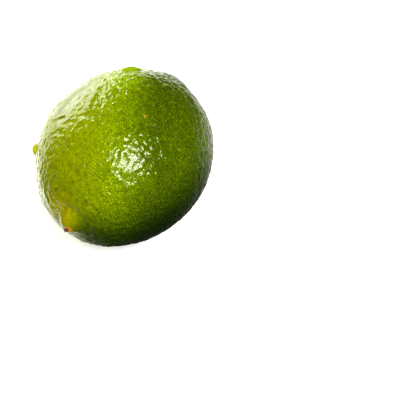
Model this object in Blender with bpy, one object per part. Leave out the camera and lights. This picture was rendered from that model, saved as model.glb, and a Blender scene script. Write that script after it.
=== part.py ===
"""Whole sweet lime, as picked.

The fruit lies on a small flat spot, and the origin is the middle of that spot. +Z is up. The
flower end, with its nipple, points to -X, and the stem end, with its button, points to +X.
"""
import math

import bmesh
import bpy
from mathutils import Vector

MM = 0.001

# Body: an ellipsoid that is a little longer than wide
HALF_LENGTH = 33.2 * MM
HALF_WIDTH = 29.0 * MM
REST_SPOT_RADIUS = 5.5 * MM

# Nipple: a blunt cone off the fruit's axis, which droops. A furrow rings its foot and is
# deepest on one side
NIPPLE_BASE = (-2.9 * MM, 2.6 * MM)
NIPPLE_DROOP = (-0.6 * MM, -2.6 * MM)
NIPPLE_HEIGHT = 2.7 * MM
NIPPLE_RADIUS = 3.7 * MM
NIPPLE_STEEPNESS = 2.6
FURROW_RADIUS = 5.2 * MM
FURROW_WIDTH = 1.8 * MM
FURROW_DEPTH = 0.9 * MM
FURROW_DEEPEST = math.radians(20)
SCAR_RADIUS = 1.0 * MM
SCAR_EDGE = 0.3 * MM
SCAR_HEIGHT = 0.6 * MM

# Stem end: a shallow hollow with a five-lobed button in it, and furrows that fan out from it
HOLLOW_RADIUS = 6.5 * MM
HOLLOW_DEPTH = 0.9 * MM
BUTTON_RADIUS = 2.5 * MM
BUTTON_EDGE = 0.8 * MM
BUTTON_HEIGHT = 0.8 * MM
BUTTON_LOBES = 5
LOBE_REACH = 0.6 * MM
STALK_SCAR_RADIUS = 1.2 * MM
STALK_SCAR_DEPTH = 0.35 * MM
FAN_FURROWS = 9
FAN_REACH = 15 * MM
FAN_DEPTH = 0.15 * MM
FAN_SWAY = 0.8

# Shoulder fold: a valley with a low ridge beside it, part of the way round the stem end,
# placed by its angle from the stem's pole and its turn about the fruit's axis
FOLD_ANGLE = math.radians(42)
FOLD_TURN = math.radians(112)
FOLD_SPREAD = math.radians(42)
FOLD_WIDTH = math.radians(2.6)
FOLD_DEPTH = 0.16 * MM
FOLD_RIDGE_OFFSET = 1.3
FOLD_RIDGE_SHARE = 0.7

# Swellings and flattened places: direction from the middle, angular radius, height
UNEVEN_PLACES = (
    (Vector((0.869, 0.047, 0.493)), math.radians(9), 0.42 * MM),
    (Vector((0.883, -0.326, 0.337)), math.radians(10), -0.38 * MM),
    (Vector((0.762, 0.328, 0.559)), math.radians(6), -0.34 * MM),
    (Vector((-0.62, -0.70, -0.34)), math.radians(16), -0.22 * MM),
    (Vector((-0.10, 0.93, 0.35)), math.radians(18), 0.20 * MM),
    (Vector((0.42, 0.66, -0.62)), math.radians(15), -0.24 * MM),
    (Vector((0.25, -0.95, -0.18)), math.radians(17), 0.22 * MM),
)
# Long gentle waves over the whole skin: wave direction with its number of radians, phase, height
WAVES = (
    (Vector((4.1, 2.3, -1.7)), 0.7, 0.10 * MM),
    (Vector((-2.9, 3.6, 3.1)), 2.1, 0.09 * MM),
    (Vector((1.4, -5.2, 3.3)), 4.4, 0.07 * MM),
)

# Mesh: rings crowd towards both poles, where the small forms are
RINGS = 60
MERIDIANS = 72
RING_CROWDING = 0.42

SKIN_COLOUR = (0.235, 0.345, 0.004, 1.0)
SKIN_ROUGHNESS = 0.32


def soft_step(value, edge, width):
    """1 well below the edge, 0 well above it, with a smooth fall of the given width."""
    t = min(max((value - edge) / width + 0.5, 0.0), 1.0)
    return 1.0 - t * t * (3.0 - 2.0 * t)


def bell(value, radius):
    return math.exp(-((value / radius) ** 2))


def ring_angles():
    """Angle of each ring from the nipple's pole; the first and last circle a small tip."""
    even = [math.pi * i / RINGS for i in range(2, RINGS - 1)]
    return [t - RING_CROWDING * math.sin(2 * t) for t in even]


def plain_body_point(polar, turn):
    """Point of the ellipsoid, with the mesh's pole drawn over to the nipple's foot."""
    drawn = math.cos(polar) ** 2 if polar < math.pi / 2 else 0.0
    y = HALF_WIDTH * math.sin(polar) * math.cos(turn) + NIPPLE_BASE[0] * drawn
    z = HALF_WIDTH * math.sin(polar) * math.sin(turn) + NIPPLE_BASE[1] * drawn
    along = HALF_LENGTH * math.sqrt(max(1.0 - (y * y + z * z) / HALF_WIDTH ** 2, 0.0))
    return Vector((-along if polar < math.pi / 2 else along, y, z))


def unevenness(direction):
    """Height of the long waves, the swellings and the flattened places."""
    height = sum(rise * math.sin(wave.dot(direction) + phase) for wave, phase, rise in WAVES)
    for place, radius, rise in UNEVEN_PLACES:
        height += rise * bell(direction.angle(place), radius)
    return height


def shoulder_fold(direction):
    """Height of the fold that runs part of the way round the stem end."""
    from_pole = direction.angle(Vector((1, 0, 0)))
    turn = math.atan2(direction.z, direction.y)
    across = (from_pole - FOLD_ANGLE) / FOLD_WIDTH
    step = FOLD_RIDGE_SHARE * bell(across - FOLD_RIDGE_OFFSET, 1.0) - bell(across, 1.0)
    return FOLD_DEPTH * step * bell(turn - FOLD_TURN, FOLD_SPREAD)


def fan_furrows(point):
    """Shallow furrows that fan out from the stem's hollow and die away over the shoulder."""
    reach = math.hypot(point.y, point.z)
    turn = math.atan2(point.z, point.y)
    strength = bell(reach, FAN_REACH) * (1.0 - bell(reach, HOLLOW_RADIUS)) ** 2
    return FAN_DEPTH * strength * math.sin(FAN_FURROWS * turn + FAN_SWAY * math.sin(2 * turn))


def nipple(point):
    """Moves a point of the flower end out into the furrow, the nipple and the scar on its tip."""
    away = math.hypot(point.y - NIPPLE_BASE[0], point.z - NIPPLE_BASE[1])
    turn = math.atan2(point.z - NIPPLE_BASE[1], point.y - NIPPLE_BASE[0])
    cone = 1.0 / (1.0 + (away / NIPPLE_RADIUS) ** NIPPLE_STEEPNESS)
    side = 0.55 + 0.45 * math.cos(turn - FURROW_DEEPEST)
    furrow = FURROW_DEPTH * side * bell(away - FURROW_RADIUS, FURROW_WIDTH)
    scar = SCAR_HEIGHT * soft_step(away, SCAR_RADIUS, SCAR_EDGE)
    return Vector((furrow - NIPPLE_HEIGHT * cone - scar,
                   NIPPLE_DROOP[0] * cone, NIPPLE_DROOP[1] * cone))


def stem_end(point):
    """Moves a point of the stem end into the hollow and out again over the button."""
    away = math.hypot(point.y, point.z)
    turn = math.atan2(point.z, point.y)
    lobed_radius = BUTTON_RADIUS + LOBE_REACH * math.cos(BUTTON_LOBES * turn)
    rise = BUTTON_HEIGHT * soft_step(away, lobed_radius, BUTTON_EDGE)
    rise -= STALK_SCAR_DEPTH * soft_step(away, STALK_SCAR_RADIUS, BUTTON_EDGE)
    return Vector((rise - HOLLOW_DEPTH * bell(away, HOLLOW_RADIUS), 0.0, 0.0))


def skin_point(polar, turn):
    point = plain_body_point(polar, turn)
    normal = Vector((point.x / HALF_LENGTH ** 2, point.y / HALF_WIDTH ** 2,
                     point.z / HALF_WIDTH ** 2)).normalized()
    direction = Vector((point.x / HALF_LENGTH, point.y / HALF_WIDTH,
                        point.z / HALF_WIDTH)).normalized()
    height = unevenness(direction)
    if point.x > 0:
        height += shoulder_fold(direction) + fan_furrows(point)
        return point + normal * height + stem_end(point)
    return point + normal * height + nipple(point)


def shape_skin(bm):
    """One closed skin: a ring of points for each angle, bridged, with a fan at each pole."""
    rings = []
    for polar in ring_angles():
        circle = bmesh.ops.create_circle(bm, segments=MERIDIANS, radius=1.0)["verts"]
        for index, vert in enumerate(circle):
            vert.co = skin_point(polar, 2 * math.pi * index / MERIDIANS)
        rings.append(circle)
    for near, far in zip(rings, rings[1:]):
        edges = [e for ring in (near, far) for v in ring for e in v.link_edges
                 if e.other_vert(v) in ring]
        bmesh.ops.bridge_loops(bm, edges=list(dict.fromkeys(edges)))
    for ring, pole in ((rings[0], skin_point(0.0, 0.0)), (rings[-1], skin_point(math.pi, 0.0))):
        tip = bm.verts.new(pole)
        for index, vert in enumerate(ring):
            bm.faces.new((vert, ring[index - 1], tip))
    bmesh.ops.recalc_face_normals(bm, faces=bm.faces[:])


def cut_rest_spot(bm):
    """Cuts the small flat spot that the fruit lies on, and sets it at the height 0."""
    height = math.sqrt(HALF_WIDTH ** 2 - REST_SPOT_RADIUS ** 2)
    everything = bm.verts[:] + bm.edges[:] + bm.faces[:]
    cut = bmesh.ops.bisect_plane(bm, geom=everything, dist=1e-7, plane_co=(0, 0, -height),
                                 plane_no=(0, 0, -1), clear_outer=True)
    rim = [part for part in cut["geom_cut"] if isinstance(part, bmesh.types.BMEdge)]
    bmesh.ops.contextual_create(bm, geom=rim)
    bmesh.ops.translate(bm, verts=bm.verts[:], vec=(0, 0, height))


def skin_material():
    material = bpy.data.materials.new("lime_skin")
    material.use_nodes = True
    shader = material.node_tree.nodes["Principled BSDF"]
    shader.inputs["Base Color"].default_value = SKIN_COLOUR
    shader.inputs["Roughness"].default_value = SKIN_ROUGHNESS
    shader.inputs["Metallic"].default_value = 0.0
    return material


def make_fruit():
    bm = bmesh.new()
    shape_skin(bm)
    cut_rest_spot(bm)
    mesh = bpy.data.meshes.new("sweet_lime")
    bm.to_mesh(mesh)
    bm.free()
    mesh.materials.append(skin_material())
    mesh.shade_smooth()
    fruit = bpy.data.objects.new("sweet_lime", mesh)
    bpy.context.scene.collection.objects.link(fruit)


for old in list(bpy.data.objects):
    bpy.data.objects.remove(old)
make_fruit()
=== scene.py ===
"""Whole wet sweet lime on a plain pale floor, in soft studio light."""
import math

import bmesh
import bpy
import numpy as np
from mathutils import Matrix, Quaternion, Vector


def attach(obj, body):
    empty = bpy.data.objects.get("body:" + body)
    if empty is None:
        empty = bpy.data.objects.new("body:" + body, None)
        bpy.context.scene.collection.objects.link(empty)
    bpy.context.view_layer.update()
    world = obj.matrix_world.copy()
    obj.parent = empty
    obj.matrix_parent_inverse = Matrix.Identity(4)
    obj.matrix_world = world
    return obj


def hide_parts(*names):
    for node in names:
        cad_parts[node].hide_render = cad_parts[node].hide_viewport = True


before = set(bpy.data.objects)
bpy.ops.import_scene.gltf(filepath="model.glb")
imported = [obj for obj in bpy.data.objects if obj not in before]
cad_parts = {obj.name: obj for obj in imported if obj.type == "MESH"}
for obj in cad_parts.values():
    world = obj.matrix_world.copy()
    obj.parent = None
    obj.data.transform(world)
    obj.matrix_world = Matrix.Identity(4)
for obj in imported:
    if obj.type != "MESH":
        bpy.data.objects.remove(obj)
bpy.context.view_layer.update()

MM = 0.001
# Points of a turned shape that lie closer than this become one
MERGE_DISTANCE = 0.001 * MM

# Body: an ellipsoid that is a little longer than wide, pressed flat where it rests
HALF_LENGTH = 33.2 * MM
HALF_WIDTH = 29.0 * MM
REST_SPOT_RADIUS = 5.5 * MM
BODY_HEIGHT = math.sqrt(HALF_WIDTH ** 2 - REST_SPOT_RADIUS ** 2)
BODY_AXES = np.array((HALF_LENGTH, HALF_WIDTH, HALF_WIDTH))

# Nipple: a blunt cone off the fruit's axis, which droops, with a furrow round its foot
NIPPLE_BASE = (-2.9 * MM, 2.6 * MM)
NIPPLE_DROOP = (-0.6 * MM, -2.6 * MM)
NIPPLE_HEIGHT = 2.7 * MM
NIPPLE_RADIUS = 3.7 * MM
NIPPLE_STEEPNESS = 2.6
FURROW_RADIUS = 5.2 * MM
FURROW_WIDTH = 1.8 * MM
FURROW_DEPTH = 0.9 * MM
FURROW_DEEPEST = math.radians(20)
FURROW_MEAN = 0.55

# Stem end: a shallow hollow, and furrows that fan out from it
HOLLOW_RADIUS = 6.5 * MM
HOLLOW_DEPTH = 0.9 * MM
FAN_FURROWS = 9
FAN_REACH = 15 * MM
FAN_DEPTH = 0.15 * MM
FAN_SWAY = 0.8

# Shoulder fold: a valley with a low ridge beside it, part of the way round the stem end
FOLD_ANGLE = math.radians(42)
FOLD_TURN = math.radians(112)
FOLD_SPREAD = math.radians(42)
FOLD_WIDTH = math.radians(2.6)
FOLD_DEPTH = 0.16 * MM
FOLD_RIDGE_OFFSET = 1.3
FOLD_RIDGE_SHARE = 0.7

# Swellings and flattened places: direction from the middle, angular radius, height
UNEVEN_PLACES = (
    ((0.869, 0.047, 0.493), math.radians(9), 0.42 * MM),
    ((0.883, -0.326, 0.337), math.radians(10), -0.38 * MM),
    ((0.762, 0.328, 0.559), math.radians(6), -0.34 * MM),
    ((-0.62, -0.70, -0.34), math.radians(16), -0.22 * MM),
    ((-0.10, 0.93, 0.35), math.radians(18), 0.20 * MM),
    ((0.42, 0.66, -0.62), math.radians(15), -0.24 * MM),
    ((0.25, -0.95, -0.18), math.radians(17), 0.22 * MM),
)
# Long gentle waves: wave direction with its number of radians, phase, height
WAVES = (
    ((4.1, 2.3, -1.7), 0.7, 0.10 * MM),
    ((-2.9, 3.6, 3.1), 2.1, 0.09 * MM),
    ((1.4, -5.2, 3.3), 4.4, 0.07 * MM),
)

# Rind relief: small oil glands all over, larger pits between them, and low lumps under both.
# It grows weaker on the nipple, whose skin is smoother. A gland's wall and a pit's floor and rim
# are shares of their spacing
SKIN_CUTS = 127
GLAND_SPACING = 0.80 * MM
GLAND_UNEVENNESS = 0.85
GLAND_WALL = 0.34
GLAND_DEPTH = 0.045 * MM
GLAND_SIZES_SPACING = 2.4 * MM
GLAND_SIZES_NOISE = (0.3, 0.68)
GLAND_SIZES = (0.4, 1.3)
FINE_SHARE_IN_MESH = 0.4
PIT_SPACING = 1.7 * MM
PIT_FLOOR = 0.08
PIT_RIM = 0.40
PIT_DEPTH = 0.11 * MM
LUMP_SPACING = 1.85 * MM
LUMP_HEIGHT = 0.80 * MM
LUMP_FINENESS = 0.43
SMOOTH_TIP_FROM = 2.5 * MM
SMOOTH_TIP_TO = 7.5 * MM
SMOOTH_TIP_SHARE = 0.35

# Wrinkles that run out from the nipple over the flower end: they spread round the nipple, and
# drift on their way out
WRINKLE_SPACING = 1.5 * MM
WRINKLE_ROUND = 8.0 * MM
WRINKLE_DRIFT = (0.3, 0.15, 0.15)
WRINKLE_HEIGHT = 0.5 * MM
WRINKLE_FROM = 3.0 * MM
WRINKLE_FULL = 7.0 * MM
# They reach further low down: the distance from the nipple counts with the height over the middle
WRINKLE_FADE = 20.0 * MM
WRINKLE_TO = 44.0 * MM
WRINKLE_LOWER = 1.2

# Crease beside the nipple
CREASE_RADIUS = 4.8 * MM
CREASE_WIDTH = 0.6 * MM
CREASE_DEPTH = 0.25 * MM
CREASE_TURN = math.radians(-10)
CREASE_SPREAD = math.radians(50)

# Water film: where it lies, as a direction from the middle with its reach along and across the
# fruit, how much of the relief it fills, and how far it stands over the rind
FILM_PLACES = (
    ((-0.15, 0.62, 0.77), 10 * MM, 5.8 * MM),
)
FILM_FILL = 0.72
FILM_SHINE = 0.3
FILM_HEIGHT = 0.05 * MM
FILM_EDGE = 0.55
FILM_WANDER = 2.4
FILM_PATCH_SPACING = 5.0 * MM
# Thin beads where the film has drawn together: from one direction to another, radius, height
FILM_BEADS = (
    ((0.093, 0.600, 0.794), (0.180, 0.576, 0.797), 0.65 * MM, 0.28 * MM),
    ((-0.015, 0.426, 0.905), (0.070, 0.416, 0.907), 0.65 * MM, 0.24 * MM),
    ((-0.033, 0.378, 0.925), (-0.220, 0.292, 0.931), 1.2 * MM, 0.38 * MM),
    ((-0.385, 0.663, 0.642), (-0.332, 0.538, 0.775), 0.65 * MM, 0.28 * MM),
)

# Water drops: direction from the middle, the way the drop is long, half length, half width,
# height, and the colour that the rind lends it
WATER_DROPS = (
    ((-0.59, 0.77, 0.24), (0.65, 0.50, 0.57), 2.3 * MM, 2.0 * MM, 1.3 * MM, (0.80, 0.78, 0.06)),
    ((0.54, 0.375, 0.75), (0.61, -0.79, 0.0), 4.0 * MM, 2.2 * MM, 1.0 * MM, (0.62, 0.80, 0.02)),
)
DROP_SINK = 0.45 * MM
DROP_STEPS = 12
DROP_SEGMENTS = 48
DROP_FOOT = 0.9
DROP_FLATNESS = 1.6
DROP_CLEARNESS = 0.65
DROP_ROUGHNESS = 0.03
WATER_IOR = 1.33

# Marks on the rind: direction from the middle, radius
BROWN_MARKS = (
    ((-0.543, 0.293, 0.787), 0.5 * MM),
    ((-0.822, -0.038, 0.569), 0.5 * MM),
    ((-0.741, -0.035, 0.670), 0.7 * MM),
    ((-0.712, -0.126, 0.691), 0.4 * MM),
    ((-0.866, -0.255, 0.429), 0.7 * MM),
)
PALE_MARKS = (
    ((0.541, -0.129, 0.831), 0.45 * MM),
    ((0.281, 0.009, 0.960), 0.4 * MM),
    ((0.056, -0.291, 0.955), 0.5 * MM),
    ((-0.516, 0.295, 0.804), 0.35 * MM),
)
BROWN_MARK_COLOUR = (0.13, 0.060, 0.004, 1.0)
BROWN_MARK_SHARE = 0.55
PALE_MARK_COLOUR = (0.60, 0.42, 0.06, 1.0)
PALE_MARK_SHARE = 0.8
# Marks of each kind that lie anywhere: number, seed and radius, and the spread of their sizes
SCATTERED_MARKS = 14
SCATTERED_BROWN = (3, 0.6 * MM)
SCATTERED_PALE = (8, 0.40 * MM)
SCATTERED_SIZES = (0.6, 1.2)

# Noise values at which a pattern of the rind reaches its two ends
NOISE_LOW = 0.3
NOISE_HIGH = 0.7

# Rind colours from the yellow side to the green side: place from 0 to 1, then red, green, blue.
# The way to the green side is level, and clouds of noise shift the colours along it. The darkest
# stop, near the green end, is partly the rind's deeper green and partly painted shade
GREENER_WAY = (0.588, -0.809, 0.0)
GREENER_FROM = -24 * MM
GREENER_TO = 24 * MM
CLOUD_SCALE = 70.0
CLOUD_REACH = 14 * MM
RIND_COLOURS = (
    (0.00, 0.255, 0.290, 0.002), (0.33, 0.176, 0.236, 0.002), (0.60, 0.124, 0.178, 0.002),
    (0.85, 0.056, 0.086, 0.002), (1.00, 0.092, 0.138, 0.002),
)
# The glands are lighter dots, mottled, which show less on the yellow side: greenness from and to,
# and how much they show there
GLAND_BRIGHTER = (2.1, 1.95, 1.2, 1.0)
GLANDS_SHOW = (0.08, 0.5, 0.2, 1.0)
MOTTLE_SPACING = 2.2 * MM
MOTTLE_SHARE = 0.3
# Fine streaks, painted light as a lighter place near the top, and darker rind under the film
STREAK_SPACING = 1.3 * MM
STREAK_SHARE = 0.12
PAINTED_LIGHT_PLACE = (0.38, 0.27, 0.88)
PAINTED_LIGHT_REACH = 14 * MM
PAINTED_LIGHT_GAIN = 1.5
WET_SHADE = 0.8
# Shine of the rind and of the film on it
RIND_ROUGHNESS = 0.10
RIND_IOR = 1.4
FILM_ROUGHNESS = 0.08
FILM_COAT_ROUGHNESS = 0.05
# Light that enters the rind: its share, and how far each colour of it reaches
INNER_LIGHT = 0.12
INNER_REACH = 1.2 * MM
INNER_REACH_SHARES = (1.0, 1.0, 0.2)
# Painted shade: the skin is darkened low down on the side away from the yellow, standing in for
# shadow under the fruit, between these heights over the middle and these distances along the way
# to the darker side
UNDERSIDE_FROM = -4 * MM
UNDERSIDE_TO = 16 * MM
PAINTED_SHADE_TINT = (0.24, 0.33, 0.35, 1.0)
UNDERSIDE_WAY = (-0.4, -1.0, 0.0)
UNDERSIDE_SIDE_FROM = 16 * MM
UNDERSIDE_SIDE_TO = 22.5 * MM
UNDERSIDE_CLOUD = 0.4
# Yellow on the nipple and the orange collar round its scar: the middle from the nipple's tip, the
# distances from full to none, and the colours
YELLOW_OFFSET = (1.0 * MM, 3.8 * MM, 4.2 * MM)
YELLOW_FROM = 2.0 * MM
YELLOW_TO = 10.5 * MM
YELLOW_CLOUD = 0.35
YELLOW_SHARE = 0.75
YELLOW_COLOUR = (0.38, 0.34, 0.002, 1.0)
YELLOW_GLAND_COLOUR = (0.54, 0.50, 0.003, 1.0)
ORANGE_OFFSET = (0.2 * MM, -0.7 * MM, 0.1 * MM)
ORANGE_FROM = 1.0 * MM
ORANGE_TO = 2.0 * MM
ORANGE_COLOUR = (0.62, 0.32, 0.015, 1.0)

# Dried plant skin: grain that is cut by cracks
GRAIN_FINENESS = 0.65
GRAIN_DEPTH = 0.06 * MM
CRACK_WIDTH = 0.12
CRACK_SHADE = 0.45
DRIED_COAT_ROUGHNESS = 0.12

# Dried scar on the nipple's tip: profile as (radius, height) in millimetres from its foot to the
# middle of its top. Its outline and its lip wave: number of waves, height, phase. Looks: size of
# the grain, dark and light colour, roughness, shine
SCAR_PROFILE = ((0.0, -0.9), (1.05, -0.9), (1.12, -0.3), (1.02, 0.15), (0.86, 0.46),
                (0.68, 0.52), (0.52, 0.36), (0.34, 0.22), (0.16, 0.30), (0.0, 0.34))
SCAR_SEGMENTS = 28
SCAR_FACING = (-1.0, -0.02, -0.10)
SCAR_WIDTHS = (0.85, 1.15)
SCAR_OUTLINE_WAVES = ((2, 0.10, 0.6), (5, 0.07, 1.9))
SCAR_LIP_WAVES = ((3, 0.10 * MM, 0.0),)
SCAR_LOOKS = (0.5 * MM, (0.045, 0.009, 0.002), (0.45, 0.20, 0.09), 0.35, 1.0)

# Dried button at the stem end, with blunt lobes: profile, waves and looks as above
BUTTON_PROFILE = ((0.0, -0.8), (3.0, -0.8), (3.25, -0.1), (3.15, 0.30), (2.75, 0.58),
                  (2.2, 0.62), (1.75, 0.80), (1.45, 0.92), (1.2, 0.86), (1.05, 0.55),
                  (0.8, 0.45), (0.4, 0.50), (0.0, 0.52))
BUTTON_SEGMENTS = 80
BUTTON_RADIUS = 3.0 * MM
BUTTON_WIDTH = 1.05
BUTTON_LOBES = 5
LOBE_REACH = 0.15
LOBE_BLUNTNESS = 0.15
BUTTON_OUTLINE_WAVES = ((3, 0.05, 1.0),)
LOBE_RISE = 0.18 * MM
BUTTON_LOOKS = (0.8 * MM, (0.085, 0.075, 0.015), (0.30, 0.31, 0.08), 0.6, 0.25)

# Camera: the view of the photo
CAMERA_AZIMUTH = math.radians(-52.5)
CAMERA_ELEVATION = math.radians(55.0)
CAMERA_DISTANCE = 0.70
CAMERA_LENS = 183.67
CAMERA_SENSOR = 36.0
CAMERA_NEAR = 0.05
CAMERA_FAR = 10.0
AIM_HEIGHT = 28.5 * MM
AIM_RIGHT = 26.02 * MM
AIM_UP = -14.93 * MM

# Floor: its grey and glow as the camera sees them, with the glow in front and behind, and its
# greys for light that it throws back. That light is bright behind the fruit, and near its foot,
# between a side and a right edge. Distances in metres along each azimuth
FLOOR_RADIUS = 2.4
FLOOR_SEGMENTS = 96
FLOOR_DROP = 0.02 * MM
FLOOR_ROUGHNESS = 0.6
FLOOR_SEEN_GREY = 0.95
FLOOR_SEEN_GLOWS = (0.05, 0.55)
FLOOR_BACK_GREY = 0.9
FLOOR_FRONT_GREY = 0.05
FLOOR_FADE_FROM = 0.35
FLOOR_FADE_TO = 0.9
FLOOR_BRIGHT_AZIMUTH = 48
FLOOR_BRIGHT_FROM = -0.03
FLOOR_BRIGHT_TO = 0.03
FLOOR_SIDE_AZIMUTH = 12
FLOOR_SIDE_FROM = -0.065
FLOOR_SIDE_TO = -0.05
FLOOR_NEAR_AZIMUTH = 100
FLOOR_NEAR_FROM = -0.012
FLOOR_NEAR_TO = 0.028
FLOOR_NEAR_REACH = 0.075
FLOOR_NEAR_EDGE = 0.015
FLOOR_NEAR_GLOW = 0.6
FLOOR_RIGHT_AZIMUTH = -20
FLOOR_RIGHT_FROM = 0.12
FLOOR_RIGHT_TO = 0.17

# Lights: azimuth from +X and elevation in degrees, sizes in metres, brightness of the surface
LIGHT_DISTANCE = 0.8
KEY_DIRECTION = (-112, 54)
KEY_SIZE = 0.34
KEY_BRIGHTNESS = 18.0
FILL_DIRECTION = (-178, 36)
FILL_SIZE = 0.5
FILL_BRIGHTNESS = 1.6
PANEL_AZIMUTH = 72
PANEL_SIZE = (0.72, 0.32)
PANEL_BRIGHTNESS = 4.6
RIM_DIRECTION = (72, 30)
RIM_SIZE = (0.42, 0.10)
RIM_BRIGHTNESS = 13.0
GLOW_AZIMUTH = 92
GLOW_SIZE = (0.55, 0.66)
GLOW_START = (0.034, -0.047)
GLOW_HEIGHT = 2 * MM
GLOW_BRIGHTNESS = 1.1
STUDIO_GREY = 0.03

WHITE = (1.0, 1.0, 1.0, 1.0)


def grey(level):
    return (level, level, level, 1.0)


def direction(azimuth, elevation):
    """Unit vector at an angle from +X in the floor's plane, and an angle above the floor."""
    a, e = math.radians(azimuth), math.radians(elevation)
    return Vector((math.cos(a) * math.cos(e), math.sin(a) * math.cos(e), math.sin(e)))


def unit(vectors):
    return vectors / np.linalg.norm(vectors, axis=-1, keepdims=True)


def bell(value, radius):
    return np.exp(-((value / radius) ** 2))


def soft_step(value, edge, width):
    """1 well below the edge, 0 well above it, with a smooth fall of the given width."""
    t = np.clip((value - edge) / width + 0.5, 0.0, 1.0)
    return 1.0 - t * t * (3.0 - 2.0 * t)


def angle_to(directions, place):
    return np.arccos(np.clip(directions @ unit(np.array(place)), -1.0, 1.0))


def unevenness(directions):
    """Height of the long waves, the swellings and the flattened places."""
    height = sum(rise * np.sin(directions @ np.array(wave) + phase) for wave, phase, rise in WAVES)
    for place, radius, rise in UNEVEN_PLACES:
        height = height + rise * bell(angle_to(directions, place), radius)
    return height


def shoulder_fold(directions):
    from_pole = angle_to(directions, (1, 0, 0))
    turn = np.arctan2(directions[:, 2], directions[:, 1])
    across = (from_pole - FOLD_ANGLE) / FOLD_WIDTH
    step = FOLD_RIDGE_SHARE * bell(across - FOLD_RIDGE_OFFSET, 1.0) - bell(across, 1.0)
    return FOLD_DEPTH * step * bell(turn - FOLD_TURN, FOLD_SPREAD)


def fan_furrows(points):
    reach = np.hypot(points[:, 1], points[:, 2])
    turn = np.arctan2(points[:, 2], points[:, 1])
    strength = bell(reach, FAN_REACH) * (1.0 - bell(reach, HOLLOW_RADIUS)) ** 2
    return FAN_DEPTH * strength * np.sin(FAN_FURROWS * turn + FAN_SWAY * np.sin(2 * turn))


def nipple(points):
    """How far each point of the flower end moves out into the furrow and the nipple."""
    away = np.hypot(points[:, 1] - NIPPLE_BASE[0], points[:, 2] - NIPPLE_BASE[1])
    turn = np.arctan2(points[:, 2] - NIPPLE_BASE[1], points[:, 1] - NIPPLE_BASE[0])
    cone = 1.0 / (1.0 + (away / NIPPLE_RADIUS) ** NIPPLE_STEEPNESS)
    side = FURROW_MEAN + (1.0 - FURROW_MEAN) * np.cos(turn - FURROW_DEEPEST)
    furrow = FURROW_DEPTH * side * bell(away - FURROW_RADIUS, FURROW_WIDTH)
    crease = CREASE_DEPTH * bell(away - CREASE_RADIUS, CREASE_WIDTH)
    crease *= bell(turn - CREASE_TURN, CREASE_SPREAD)
    return np.stack((furrow + crease - NIPPLE_HEIGHT * cone, NIPPLE_DROOP[0] * cone,
                     NIPPLE_DROOP[1] * cone), axis=1)


def smooth_skin(directions):
    """Points of the skin without its fine relief, for directions from the body's middle."""
    points = directions * BODY_AXES
    normals = unit(points / BODY_AXES ** 2)
    stem_side = (points[:, :1] > 0).astype(float)
    height = unevenness(directions)
    height += stem_side[:, 0] * (shoulder_fold(directions) + fan_furrows(points))
    hollow = HOLLOW_DEPTH * bell(np.hypot(points[:, 1], points[:, 2]), HOLLOW_RADIUS)
    moved = points + normals * height[:, None] + (1.0 - stem_side) * nipple(points)
    moved[:, 0] -= stem_side[:, 0] * hollow
    return moved + (0.0, 0.0, BODY_HEIGHT)


def skin_at(place):
    """Point of the smooth skin in one direction from the body's middle."""
    return smooth_skin(unit(np.array([place])))[0]


def nipple_tip():
    y, z = (part / HALF_WIDTH for part in NIPPLE_BASE)
    return skin_at((-math.sqrt(1.0 - y * y - z * z), y, z))


def stem_pit():
    return skin_at((1.0, 0.0, 0.0))


def read_vectors(items, name):
    values = np.empty(len(items) * 3)
    items.foreach_get(name, values)
    return values.reshape(-1, 3)


def read_attribute(mesh, name):
    values = np.empty(len(mesh.vertices))
    mesh.attributes[name].data.foreach_get("value", values)
    return values


def write_attribute(mesh, name, values):
    attribute = mesh.attributes.new(name, "FLOAT", "POINT")
    attribute.data.foreach_set("value", values.astype(np.float32))


class Nodes:
    """Adds nodes to a tree and joins them up: a socket is linked, and another value is set."""

    def __init__(self, tree):
        self.tree = tree

    def add(self, kind, settings=None, **inputs):
        node = self.tree.nodes.new(kind)
        for name, value in (settings or {}).items():
            setattr(node, name, value)
        for name, value in inputs.items():
            self.feed(node.inputs[name.replace("_", " ")], value)
        return node

    def feed(self, socket, value):
        if isinstance(value, bpy.types.NodeSocket):
            self.tree.links.new(value, socket)
        else:
            socket.default_value = value

    def maths(self, operation, first, second=0.0, third=0.0):
        node = self.tree.nodes.new("ShaderNodeMath")
        node.operation = operation
        for socket, value in zip(node.inputs, (first, second, third)):
            self.feed(socket, value)
        return node.outputs[0]

    def vectors(self, operation, first, second, output):
        node = self.tree.nodes.new("ShaderNodeVectorMath")
        node.operation = operation
        self.feed(node.inputs[0], first)
        self.feed(node.inputs[1], second)
        return node.outputs[output]

    def ramp(self, value, low, high, bottom=0.0, top=1.0):
        """bottom at low, top at high, with a smooth rise between them."""
        node = self.tree.nodes.new("ShaderNodeMapRange")
        node.interpolation_type = "SMOOTHSTEP"
        for socket, part in zip(node.inputs, (value, low, high, bottom, top)):
            self.feed(socket, part)
        return node.outputs[0]

    def blend(self, factor, first, second, kind="MIX"):
        node = self.tree.nodes.new("ShaderNodeMix")
        node.data_type = "RGBA"
        node.blend_type = kind
        for socket, part in zip((node.inputs[0], node.inputs[6], node.inputs[7]),
                                (factor, first, second)):
            self.feed(socket, part)
        return node.outputs[2]

    def colours(self, value, stops):
        """The colours of the stops, each (place, red, green, blue), blended smoothly."""
        node = self.tree.nodes.new("ShaderNodeValToRGB")
        node.color_ramp.interpolation = "B_SPLINE"
        self.feed(node.inputs[0], value)
        elements = node.color_ramp.elements
        for _ in stops[2:]:
            elements.new(0.5)
        for element, (place, *colour) in zip(elements, stops):
            element.position = place
            element.color = (*colour, 1.0)
        return node.outputs["Color"]


def new_material(name):
    """A material with its node helper and its main shader."""
    material = bpy.data.materials.new(name)
    material.use_nodes = True
    return material, Nodes(material.node_tree), material.node_tree.nodes["Principled BSDF"]


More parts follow.
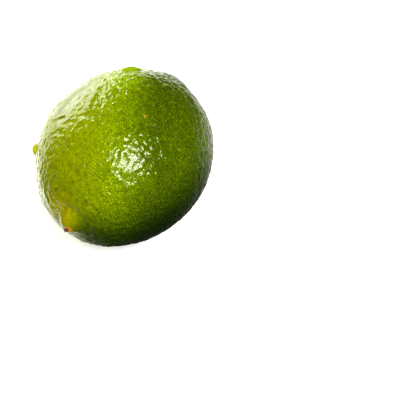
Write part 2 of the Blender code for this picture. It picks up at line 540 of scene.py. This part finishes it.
def fine_relief(nodes, position):
    """How far into a gland a point is, from 0 to 1, and the height of the glands and pits."""
    glands = nodes.add("ShaderNodeTexVoronoi", {"feature": "DISTANCE_TO_EDGE"}, Vector=position,
                       Scale=1.0 / GLAND_SPACING, Randomness=GLAND_UNEVENNESS)
    gland = nodes.ramp(glands.outputs["Distance"], 0.0, GLAND_WALL)
    sizes = nodes.add("ShaderNodeTexNoise", None, Vector=position, Scale=1.0 / GLAND_SIZES_SPACING,
                      Detail=1.0)
    size = nodes.ramp(sizes.outputs["Fac"], *GLAND_SIZES_NOISE, *GLAND_SIZES)
    depth = nodes.maths("MULTIPLY", nodes.maths("MULTIPLY", gland, size), -GLAND_DEPTH)
    pits = nodes.add("ShaderNodeTexVoronoi", {"feature": "F1"}, Vector=position,
                     Scale=1.0 / PIT_SPACING, Randomness=1.0)
    pit = nodes.ramp(pits.outputs["Distance"], PIT_FLOOR, PIT_RIM, -PIT_DEPTH, 0.0)
    return gland, nodes.maths("ADD", depth, pit)


def coarse_relief(nodes, position):
    """Height of the lumps, and of the wrinkles that run out from the nipple."""
    lumps = nodes.add("ShaderNodeTexNoise", None, Vector=position, Scale=1.0 / LUMP_SPACING,
                      Detail=2.0, Roughness=LUMP_FINENESS)
    lump = nodes.maths("MULTIPLY_ADD", lumps.outputs["Fac"], LUMP_HEIGHT, -0.5 * LUMP_HEIGHT)
    offset = nodes.vectors("SUBTRACT", position, nipple_tip(), "Vector")
    reach = nodes.vectors("LENGTH", offset, (0.0, 0.0, 0.0), "Value")
    flat = nodes.vectors("MULTIPLY", offset, (0.0, 1.0, 1.0), "Vector")
    way = nodes.vectors("NORMALIZE", flat, (0.0, 0.0, 0.0), "Vector")
    ring = nodes.vectors("MULTIPLY", way, (WRINKLE_ROUND,) * 3, "Vector")
    drift = nodes.vectors("MULTIPLY", offset, WRINKLE_DRIFT, "Vector")
    wrinkles = nodes.add("ShaderNodeTexNoise", None, Scale=1.0 / WRINKLE_SPACING, Detail=1.0,
                         Vector=nodes.vectors("ADD", ring, drift, "Vector"))
    wrinkle = nodes.maths("MULTIPLY_ADD", wrinkles.outputs["Fac"], WRINKLE_HEIGHT,
                          -0.5 * WRINKLE_HEIGHT)
    begun = nodes.ramp(reach, WRINKLE_FROM, WRINKLE_FULL)
    above = nodes.vectors("DOT_PRODUCT", position, (0.0, 0.0, WRINKLE_LOWER), "Value")
    far = nodes.maths("ADD", reach, nodes.maths("SUBTRACT", above, WRINKLE_LOWER * BODY_HEIGHT))
    left = nodes.ramp(far, WRINKLE_FADE, WRINKLE_TO, 1.0, 0.0)
    wrinkle = nodes.maths("MULTIPLY", wrinkle, nodes.maths("MULTIPLY", begun, left))
    return nodes.maths("ADD", lump, wrinkle)


def sample_relief(mesh):
    """Stores the relief of the rind on the mesh's points and returns the new mesh."""
    tree = bpy.data.node_groups.new("rind_relief", "GeometryNodeTree")
    tree.interface.new_socket("Geometry", in_out="INPUT", socket_type="NodeSocketGeometry")
    tree.interface.new_socket("Geometry", in_out="OUTPUT", socket_type="NodeSocketGeometry")
    nodes = Nodes(tree)
    geometry = nodes.add("NodeGroupInput").outputs[0]
    position = nodes.add("GeometryNodeInputPosition").outputs[0]
    gland, fine = fine_relief(nodes, position)
    coarse = coarse_relief(nodes, position)
    patch = nodes.add("ShaderNodeTexNoise", None, Vector=position, Scale=1.0 / FILM_PATCH_SPACING,
                      Detail=2.0)
    for name, value in (("fine", fine), ("coarse", coarse), ("patch", patch.outputs["Fac"])):
        store = nodes.add("GeometryNodeStoreNamedAttribute",
                          {"data_type": "FLOAT", "domain": "POINT"},
                          Geometry=geometry, Name=name, Value=value)
        geometry = store.outputs[0]
    nodes.add("NodeGroupOutput", None, Geometry=geometry)
    carrier = bpy.data.objects.new("relief_sample", mesh)
    bpy.context.scene.collection.objects.link(carrier)
    carrier.modifiers.new("relief", "NODES").node_group = tree
    evaluated = carrier.evaluated_get(bpy.context.evaluated_depsgraph_get())
    sampled = bpy.data.meshes.new_from_object(evaluated)
    bpy.data.objects.remove(carrier)
    bpy.data.node_groups.remove(tree)
    return sampled


def film_over(points, patch):
    """1 where the water film lies and 0 elsewhere, with an uneven edge."""
    film = np.zeros(len(points))
    middle = points - (0.0, 0.0, BODY_HEIGHT)
    for place, along, across in FILM_PLACES:
        offset = middle - unit(np.array(place)) * BODY_AXES
        sideways = np.linalg.norm(offset[:, 1:], axis=1)
        distance = np.hypot(offset[:, 0] / along, sideways / across) + FILM_WANDER * (patch - 0.5)
        film = np.maximum(film, soft_step(distance, 1.0, FILM_EDGE))
    return film


def beads_over(points):
    """Height of the thin beads of water, each along a line between two points of the skin."""
    height = np.zeros(len(points))
    for start, end, radius, rise in FILM_BEADS:
        first = skin_at(start)
        line = skin_at(end) - first
        along = np.clip((points - first) @ line / (line @ line), 0.0, 1.0)
        away = np.linalg.norm(points - first - along[:, None] * line, axis=1)
        height = np.maximum(height, rise * bell(away, radius))
    return height


def marks_over(points, marks, seed, radius):
    """1 in the middle of each mark, the listed ones and scattered ones, and 0 away from them."""
    chance = np.random.default_rng(seed)
    places = list(marks)
    for place in unit(chance.normal(size=(SCATTERED_MARKS, 3))):
        places.append((place, radius * chance.uniform(*SCATTERED_SIZES)))
    over = np.zeros(len(points))
    for place, size in places:
        over = np.maximum(over, bell(np.linalg.norm(points - skin_at(place), axis=1), size))
    return over


def add_piece(name, mesh, material):
    """A finished piece at the origin, which rides on the fruit's body."""
    mesh.materials.clear()
    mesh.materials.append(material)
    mesh.shade_smooth()
    piece = bpy.data.objects.new(name, mesh)
    bpy.context.scene.collection.objects.link(piece)
    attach(piece, "root")
    return piece


def make_skin():
    """The rind as one closed skin, with its glands, pits, lumps, wrinkles and film of water."""
    bm = bmesh.new()
    bmesh.ops.create_cube(bm, size=2.0)
    bmesh.ops.subdivide_edges(bm, edges=bm.edges[:], cuts=SKIN_CUTS, use_grid_fill=True)
    mesh = bpy.data.meshes.new("rind")
    bm.to_mesh(mesh)
    bm.free()
    corners = read_vectors(mesh.vertices, "co")
    directions = unit(np.tan(corners * math.pi / 4))
    mesh.vertices.foreach_set("co", smooth_skin(directions).ravel())
    mesh.update()
    mesh = sample_relief(mesh)
    points = read_vectors(mesh.vertices, "co")
    normals = read_vectors(mesh.vertices, "normal")
    from_tip = np.linalg.norm(points - nipple_tip(), axis=1)
    middle, width = (SMOOTH_TIP_FROM + SMOOTH_TIP_TO) / 2, SMOOTH_TIP_TO - SMOOTH_TIP_FROM
    strength = 1.0 - (1.0 - SMOOTH_TIP_SHARE) * soft_step(from_tip, middle, width)
    relief = read_attribute(mesh, "coarse") + FINE_SHARE_IN_MESH * read_attribute(mesh, "fine")
    film = film_over(points, read_attribute(mesh, "patch"))
    height = strength * relief * (1.0 - FILM_FILL * film) + FILM_HEIGHT * film
    raised = points + normals * (height + beads_over(points))[:, None]
    raised[:, 2] = np.maximum(raised[:, 2], 0.0)
    mesh.vertices.foreach_set("co", raised.ravel())
    write_attribute(mesh, "film", film)
    write_attribute(mesh, "rough", strength)
    write_attribute(mesh, "brown", marks_over(points, BROWN_MARKS, *SCATTERED_BROWN))
    write_attribute(mesh, "pale", marks_over(points, PALE_MARKS, *SCATTERED_PALE))
    mesh.update()
    skin = add_piece("rind", mesh, skin_material())
    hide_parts("sweet_lime")


def green_colour(nodes, position, cloud, gland, rough):
    """Yellow on one side to green on the other, with the glands as lighter, mottled dots."""
    greener = nodes.vectors("DOT_PRODUCT", position, GREENER_WAY, "Value")
    greenness = nodes.ramp(nodes.maths("ADD", greener, cloud), GREENER_FROM, GREENER_TO)
    colour = nodes.colours(greenness, RIND_COLOURS)
    mottles = nodes.add("ShaderNodeTexNoise", None, Vector=position, Scale=1.0 / MOTTLE_SPACING,
                        Detail=2.0)
    mottle = nodes.ramp(mottles.outputs["Fac"], NOISE_LOW, NOISE_HIGH,
                        1.0 + MOTTLE_SHARE, 1.0 - MOTTLE_SHARE)
    dots = nodes.maths("MULTIPLY", gland, nodes.ramp(greenness, *GLANDS_SHOW))
    dots = nodes.maths("MULTIPLY", nodes.maths("MULTIPLY", dots, rough), mottle)
    return nodes.blend(dots, colour, nodes.blend(1.0, colour, GLAND_BRIGHTER, "MULTIPLY"))


def rind_shade(nodes, position, film):
    """Fine streaks, painted light as a lighter place near the top, and darker rind under the film.
    """
    streaks = nodes.add("ShaderNodeTexNoise", None, Vector=position, Scale=1.0 / STREAK_SPACING,
                        Detail=1.0)
    streak = nodes.ramp(streaks.outputs["Fac"], NOISE_LOW, NOISE_HIGH,
                        1.0 - STREAK_SHARE, 1.0 + STREAK_SHARE)
    wet = nodes.ramp(film, 0.0, 1.0, 1.0, WET_SHADE)
    # Painted light: the rind is made lighter round a place near the top, where the light falls
    # brighter
    from_top = nodes.vectors("DISTANCE", position, skin_at(PAINTED_LIGHT_PLACE), "Value")
    lighter = nodes.ramp(from_top, 0.0, PAINTED_LIGHT_REACH, PAINTED_LIGHT_GAIN, 1.0)
    return nodes.maths("MULTIPLY", nodes.maths("MULTIPLY", wet, streak), lighter)


def painted_underside_shade(nodes, position, cloud):
    """Mask of the painted shade under the fruit: 1 low down on the darker side, and 0 elsewhere."""
    height = nodes.vectors("DOT_PRODUCT", position, (0.0, 0.0, 1.0), "Value")
    height = nodes.maths("ADD", height, nodes.maths("MULTIPLY", cloud, UNDERSIDE_CLOUD))
    low = nodes.ramp(height, BODY_HEIGHT + UNDERSIDE_FROM, BODY_HEIGHT + UNDERSIDE_TO, 1.0, 0.0)
    side = nodes.vectors("DOT_PRODUCT", position, UNDERSIDE_WAY, "Value")
    return nodes.maths("MULTIPLY", low, nodes.ramp(side, UNDERSIDE_SIDE_FROM, UNDERSIDE_SIDE_TO))


def skin_material():
    material, nodes, shader = new_material("lime_rind")
    position = nodes.add("ShaderNodeTexCoord").outputs["Object"]

    def painted(name):
        return nodes.add("ShaderNodeAttribute", {"attribute_name": name}).outputs["Fac"]

    film, rough = painted("film"), painted("rough")
    gland, fine = fine_relief(nodes, position)
    clouds = nodes.add("ShaderNodeTexNoise", None, Vector=position, Scale=CLOUD_SCALE, Detail=3.0)
    cloud = nodes.maths("MULTIPLY_ADD", clouds.outputs["Fac"], CLOUD_REACH, -0.5 * CLOUD_REACH)

    colour = green_colour(nodes, position, cloud, gland, rough)
    colour = nodes.blend(1.0, colour, rind_shade(nodes, position, film), "MULTIPLY")
    for name, share, mark_colour in (("brown", BROWN_MARK_SHARE, BROWN_MARK_COLOUR),
                                     ("pale", PALE_MARK_SHARE, PALE_MARK_COLOUR)):
        colour = nodes.blend(nodes.maths("MULTIPLY", painted(name), share), colour, mark_colour)
    away = nodes.vectors("DISTANCE", position, nipple_tip() + YELLOW_OFFSET, "Value")
    away = nodes.maths("ADD", away, nodes.maths("MULTIPLY", cloud, YELLOW_CLOUD))
    colour = nodes.blend(nodes.ramp(away, YELLOW_FROM, YELLOW_TO, YELLOW_SHARE, 0.0), colour,
                         nodes.blend(gland, YELLOW_COLOUR, YELLOW_GLAND_COLOUR))
    # Painted shade: darker rind low down on one side, standing in for shadow under the fruit
    colour = nodes.blend(painted_underside_shade(nodes, position, cloud), colour,
                         nodes.blend(1.0, colour, PAINTED_SHADE_TINT, "MULTIPLY"))
    away = nodes.vectors("DISTANCE", position, nipple_tip() + ORANGE_OFFSET, "Value")
    colour = nodes.blend(nodes.ramp(away, ORANGE_FROM, ORANGE_TO, 1.0, 0.0), colour,
                         ORANGE_COLOUR)
    nodes.feed(shader.inputs["Base Color"], colour)

    fine_share = 1.0 - FINE_SHARE_IN_MESH
    filled = nodes.ramp(film, 0.0, 1.0, fine_share, fine_share * (1.0 - FILM_FILL))
    height = nodes.maths("MULTIPLY", fine, nodes.maths("MULTIPLY", filled, rough))
    bump = nodes.add("ShaderNodeBump", None, Height=height, Distance=1.0, Strength=1.0)
    nodes.feed(shader.inputs["Normal"], bump.outputs[0])
    roughness = nodes.ramp(film, 0.0, 1.0, RIND_ROUGHNESS, FILM_ROUGHNESS)
    nodes.feed(shader.inputs["Roughness"], roughness)
    nodes.feed(shader.inputs["Coat Weight"], nodes.maths("MULTIPLY", film, FILM_SHINE))
    shader.inputs["Coat Roughness"].default_value = FILM_COAT_ROUGHNESS
    shader.inputs["Coat IOR"].default_value = RIND_IOR
    shader.inputs["IOR"].default_value = RIND_IOR
    shader.inputs["Subsurface Weight"].default_value = INNER_LIGHT
    shader.inputs["Subsurface Radius"].default_value = INNER_REACH_SHARES
    shader.inputs["Subsurface Scale"].default_value = INNER_REACH
    return material


def turned_shape(profile, segments):
    """A bmesh turned round Z from a profile of (radius, height) points, closed at both poles."""
    bm = bmesh.new()
    chain = [bm.verts.new((radius, 0.0, height)) for radius, height in profile]
    edges = [bm.edges.new(pair) for pair in zip(chain, chain[1:])]
    bmesh.ops.spin(bm, geom=chain + edges, cent=(0, 0, 0), axis=(0, 0, 1), dvec=(0, 0, 0),
                   angle=2 * math.pi, steps=segments, use_merge=True)
    bmesh.ops.remove_doubles(bm, verts=bm.verts[:], dist=MERGE_DISTANCE)
    bmesh.ops.recalc_face_normals(bm, faces=bm.faces[:])
    return bm


def waves_round(turn, waves):
    return sum(height * math.sin(number * turn + phase) for number, height, phase in waves)


def place_on_skin(bm, point, facing):
    """Moves a turned shape so that its foot is at a point of the skin and its top faces a way."""
    turned = Vector(facing).to_track_quat("Z", "Y").to_matrix().to_4x4()
    bmesh.ops.transform(bm, matrix=Matrix.Translation(point) @ turned, verts=bm.verts[:])


def finish_mesh(bm, name):
    mesh = bpy.data.meshes.new(name)
    bm.to_mesh(mesh)
    bm.free()
    return mesh


def dried_grain_group():
    """Uneven, cracked surface of dried plant skin: a shade from 0 to 1, and a height in metres."""
    tree = bpy.data.node_groups.new("dried_grain", "ShaderNodeTree")
    for name, kind, way in (("Position", "NodeSocketVector", "INPUT"),
                            ("Grain Size", "NodeSocketFloat", "INPUT"),
                            ("Depth", "NodeSocketFloat", "INPUT"),
                            ("Shade", "NodeSocketFloat", "OUTPUT"),
                            ("Height", "NodeSocketFloat", "OUTPUT")):
        tree.interface.new_socket(name, in_out=way, socket_type=kind)
    nodes = Nodes(tree)
    given = nodes.add("NodeGroupInput").outputs
    scale = nodes.maths("DIVIDE", 1.0, given["Grain Size"])
    grain = nodes.add("ShaderNodeTexNoise", None, Vector=given["Position"], Scale=scale, Detail=4.0,
                      Roughness=GRAIN_FINENESS)
    cracks = nodes.add("ShaderNodeTexVoronoi", {"feature": "DISTANCE_TO_EDGE"},
                       Vector=given["Position"], Scale=scale)
    crack = nodes.ramp(cracks.outputs["Distance"], 0.0, CRACK_WIDTH, CRACK_SHADE, 1.0)
    grain = nodes.ramp(grain.outputs["Fac"], NOISE_LOW, NOISE_HIGH)
    shade = nodes.maths("MULTIPLY", grain, crack)
    nodes.add("NodeGroupOutput", None, Shade=shade,
              Height=nodes.maths("MULTIPLY", shade, given["Depth"]))
    return tree


def dried_material(name, grain_group, grain_size, dark, light, roughness, shine):
    material, nodes, shader = new_material(name)
    position = nodes.add("ShaderNodeTexCoord").outputs["Object"]
    grain = nodes.add("ShaderNodeGroup", {"node_tree": grain_group}, Position=position,
                      Grain_Size=grain_size, Depth=GRAIN_DEPTH)
    nodes.feed(shader.inputs["Base Color"],
               nodes.blend(grain.outputs["Shade"], (*dark, 1.0), (*light, 1.0)))
    bump = nodes.add("ShaderNodeBump", None, Height=grain.outputs["Height"], Distance=1.0)
    nodes.feed(shader.inputs["Normal"], bump.outputs[0])
    shader.inputs["Roughness"].default_value = roughness
    shader.inputs["Coat Weight"].default_value = shine
    shader.inputs["Coat Roughness"].default_value = DRIED_COAT_ROUGHNESS
    return material


def make_style_scar(grain_group):
    """The dried stub of the style on the nipple's tip: a small cup with an uneven lip."""
    bm = turned_shape([(radius * MM, height * MM) for radius, height in SCAR_PROFILE],
                      SCAR_SEGMENTS)
    for vert in bm.verts:
        turn = math.atan2(vert.co.y, vert.co.x)
        wobble = 1.0 + waves_round(turn, SCAR_OUTLINE_WAVES)
        vert.co.x *= SCAR_WIDTHS[0] * wobble
        vert.co.y *= SCAR_WIDTHS[1] * wobble
        if vert.co.z > 0:
            vert.co.z += waves_round(turn, SCAR_LIP_WAVES)
    place_on_skin(bm, nipple_tip(), SCAR_FACING)
    add_piece("style_scar", finish_mesh(bm, "style_scar"),
              dried_material("dried_scar", grain_group, *SCAR_LOOKS))


def make_stem_button(grain_group):
    """The dried five-lobed button in the stem's hollow, with the stalk's scar in its middle."""
    bm = turned_shape([(radius * MM, height * MM) for radius, height in BUTTON_PROFILE],
                      BUTTON_SEGMENTS)
    for vert in bm.verts:
        turn = math.atan2(vert.co.y, vert.co.x)
        reach = min(math.hypot(vert.co.x, vert.co.y) / BUTTON_RADIUS, 1.0) ** 2
        lobe = math.cos(BUTTON_LOBES * turn)
        blunt = lobe - LOBE_BLUNTNESS * math.cos(2 * BUTTON_LOBES * turn)
        stretch = BUTTON_WIDTH + reach * (LOBE_REACH * blunt
                                          + waves_round(turn, BUTTON_OUTLINE_WAVES))
        vert.co.x *= stretch
        vert.co.y *= stretch
        if vert.co.z > 0:
            vert.co.z += LOBE_RISE * reach * lobe
    place_on_skin(bm, stem_pit(), (1.0, 0.0, 0.0))
    add_piece("stem_button", finish_mesh(bm, "stem_button"),
              dried_material("dried_button", grain_group, *BUTTON_LOOKS))


def water_material(name, tint):
    """Water over rind: partly clear, and bright with the light that the rind sends back into it."""
    material, nodes, shader = new_material(name)
    shader.inputs["Base Color"].default_value = (*tint, 1.0)
    shader.inputs["Roughness"].default_value = DROP_ROUGHNESS
    shader.inputs["IOR"].default_value = WATER_IOR
    shader.inputs["Transmission Weight"].default_value = DROP_CLEARNESS
    return material


def make_drops():
    """Water drops that follow the skin below them, each a low dome with its foot sunk in."""
    slopes = [math.pi / 2 * step / DROP_STEPS for step in range(DROP_STEPS, 0, -1)]
    dome = [(math.sin(slope), math.cos(slope) ** DROP_FLATNESS) for slope in slopes]
    for index, (place, long_way, half_length, half_width, height, tint) in enumerate(WATER_DROPS):
        bm = turned_shape([(0.0, -1.0), (DROP_FOOT, -1.0), *dome, (0.0, 1.0)], DROP_SEGMENTS)
        upward = Vector(unit(np.array(place) / BODY_AXES))
        side = upward.cross(Vector(long_way)).normalized()
        forward = side.cross(upward)
        for vert in bm.verts:
            offset = forward * vert.co.x * half_length + side * vert.co.y * half_width
            foot = unit(np.array(place)) + np.array(offset) / BODY_AXES
            rise = vert.co.z * (height if vert.co.z > 0 else DROP_SINK)
            vert.co = Vector(skin_at(foot)) + upward * rise
        bmesh.ops.recalc_face_normals(bm, faces=bm.faces[:])
        add_piece(f"water_drop_{index + 1}", finish_mesh(bm, "water_drop"),
                  water_material(f"water_{index + 1}", tint))


def floor_material():
    """Pale to look at, dimmer in what it throws back in front, and fading to white far out."""
    material, nodes, shader = new_material("pale_floor")
    tree = material.node_tree
    seen = nodes.add("ShaderNodeLightPath").outputs["Is Camera Ray"]
    position = nodes.add("ShaderNodeTexCoord").outputs["Object"]
    behind = nodes.vectors("DOT_PRODUCT", position, direction(FLOOR_BRIGHT_AZIMUTH, 0), "Value")
    behind = nodes.ramp(behind, FLOOR_BRIGHT_FROM, FLOOR_BRIGHT_TO)
    beside = nodes.vectors("DOT_PRODUCT", position, direction(FLOOR_SIDE_AZIMUTH, 0), "Value")
    beside = nodes.ramp(beside, FLOOR_SIDE_FROM, FLOOR_SIDE_TO)
    reach = nodes.vectors("LENGTH", position, (0.0, 0.0, 0.0), "Value")
    near = nodes.vectors("DOT_PRODUCT", position, direction(FLOOR_NEAR_AZIMUTH, 0), "Value")
    near = nodes.maths("MULTIPLY", nodes.ramp(near, FLOOR_NEAR_FROM, FLOOR_NEAR_TO),
                       nodes.ramp(reach, FLOOR_NEAR_REACH - FLOOR_NEAR_EDGE, FLOOR_NEAR_REACH,
                                  1.0, 0.0))
    right = nodes.vectors("DOT_PRODUCT", position, direction(FLOOR_RIGHT_AZIMUTH, 0), "Value")
    right = nodes.ramp(right, FLOOR_RIGHT_FROM, FLOOR_RIGHT_TO, 1.0, 0.0)
    bright = nodes.maths("MULTIPLY", nodes.maths("MULTIPLY", behind, beside), right)
    bright = nodes.maths("MAXIMUM", bright, near)
    thrown = nodes.blend(bright, grey(FLOOR_FRONT_GREY), grey(FLOOR_BACK_GREY))
    nodes.feed(shader.inputs["Base Color"], nodes.blend(seen, thrown, grey(FLOOR_SEEN_GREY)))
    glowing = nodes.blend(near, grey(0.0), grey(FLOOR_NEAR_GLOW))
    lit = nodes.blend(behind, *(grey(level) for level in FLOOR_SEEN_GLOWS))
    nodes.feed(shader.inputs["Emission Color"], nodes.blend(seen, glowing, lit))
    shader.inputs["Emission Strength"].default_value = 1.0
    shader.inputs["Roughness"].default_value = FLOOR_ROUGHNESS
    shader.inputs["Specular IOR Level"].default_value = 0.0
    glow = nodes.add("ShaderNodeEmission", None, Color=WHITE, Strength=1.0)
    far = nodes.maths("MULTIPLY", seen, nodes.ramp(reach, FLOOR_FADE_FROM, FLOOR_FADE_TO))
    mixed = nodes.add("ShaderNodeMixShader", None, Fac=far)
    tree.links.new(shader.outputs[0], mixed.inputs[1])
    tree.links.new(glow.outputs[0], mixed.inputs[2])
    tree.links.new(mixed.outputs[0], tree.nodes["Material Output"].inputs["Surface"])
    return material


def make_floor():
    bm = bmesh.new()
    bmesh.ops.create_circle(bm, cap_ends=True, segments=FLOOR_SEGMENTS, radius=FLOOR_RADIUS)
    mesh = finish_mesh(bm, "floor")
    mesh.materials.append(floor_material())
    floor = bpy.data.objects.new("floor", mesh)
    bpy.context.scene.collection.objects.link(floor)
    floor.location.z = -FLOOR_DROP


def make_camera():
    sin_a, cos_a = math.sin(CAMERA_AZIMUTH), math.cos(CAMERA_AZIMUTH)
    sin_e, cos_e = math.sin(CAMERA_ELEVATION), math.cos(CAMERA_ELEVATION)
    back = Vector((sin_a * cos_e, -cos_a * cos_e, sin_e))
    right = Vector((cos_a, sin_a, 0.0))
    up = back.cross(right)
    aim = Vector((0.0, 0.0, AIM_HEIGHT)) + right * AIM_RIGHT + up * AIM_UP
    data = bpy.data.cameras.new("camera")
    data.lens = CAMERA_LENS
    data.sensor_width = CAMERA_SENSOR
    data.clip_start = CAMERA_NEAR
    data.clip_end = CAMERA_FAR
    camera = bpy.data.objects.new("camera", data)
    bpy.context.scene.collection.objects.link(camera)
    camera.matrix_world = (Matrix.Translation(aim + back * CAMERA_DISTANCE)
                           @ Matrix((right, up, back)).transposed().to_4x4())
    bpy.context.scene.camera = camera


def soft_light(name, place, target, width, height, brightness, turn=0.0):
    """A rectangle of soft light at a place, facing a target, hidden from the camera."""
    data = bpy.data.lights.new(name, "AREA")
    data.shape = "RECTANGLE"
    data.size = width
    data.size_y = height
    data.energy = brightness * math.pi * width * height
    light = bpy.data.objects.new(name, data)
    bpy.context.scene.collection.objects.link(light)
    light.location = place
    facing = (target - place).to_track_quat("-Z", "Y")
    light.rotation_euler = (Quaternion((0, 0, 1), turn) @ facing).to_euler()
    light.visible_camera = False
    return light


def make_lights():
    """A key light in front, a weak fill at the flower end, a panel with a narrow bright light
    over it behind, and a bright patch of the floor before the panel."""
    middle = Vector((0.0, 0.0, BODY_HEIGHT))
    key = middle + direction(*KEY_DIRECTION) * LIGHT_DISTANCE
    soft_light("key_light", key, middle, KEY_SIZE, KEY_SIZE, KEY_BRIGHTNESS)
    fill = middle + direction(*FILL_DIRECTION) * LIGHT_DISTANCE
    fill = soft_light("fill_light", fill, middle, FILL_SIZE, FILL_SIZE, FILL_BRIGHTNESS)
    fill.visible_glossy = False
    away = direction(PANEL_AZIMUTH, 0)
    panel = away * LIGHT_DISTANCE + Vector((0, 0, PANEL_SIZE[1] / 2))
    soft_light("back_panel", panel, panel - away, *PANEL_SIZE, PANEL_BRIGHTNESS)
    rim = middle + direction(*RIM_DIRECTION) * LIGHT_DISTANCE
    soft_light("rim_light", rim, middle, *RIM_SIZE, RIM_BRIGHTNESS)
    glow = (direction(GLOW_AZIMUTH, 0) * (GLOW_START[0] + GLOW_SIZE[1] / 2)
            + direction(GLOW_AZIMUTH - 90, 0) * (GLOW_START[1] + GLOW_SIZE[0] / 2)
            + Vector((0, 0, GLOW_HEIGHT)))
    soft_light("floor_glow", glow, glow + Vector((0, 0, 1)), *GLOW_SIZE, GLOW_BRIGHTNESS,
               math.radians(GLOW_AZIMUTH - 90))


def make_world():
    world = bpy.data.worlds.new("studio")
    world.use_nodes = True
    nodes = Nodes(world.node_tree)
    seen = nodes.add("ShaderNodeLightPath").outputs["Is Camera Ray"]
    colour = nodes.blend(seen, grey(STUDIO_GREY), WHITE)
    nodes.feed(world.node_tree.nodes["Background"].inputs["Color"], colour)
    bpy.context.scene.world = world
    bpy.context.scene.view_settings.view_transform = "Standard"
    bpy.context.scene.view_settings.look = "High Contrast"


make_camera()
make_world()
make_lights()
make_floor()
make_skin()
grain = dried_grain_group()
make_style_scar(grain)
make_stem_button(grain)
make_drops()
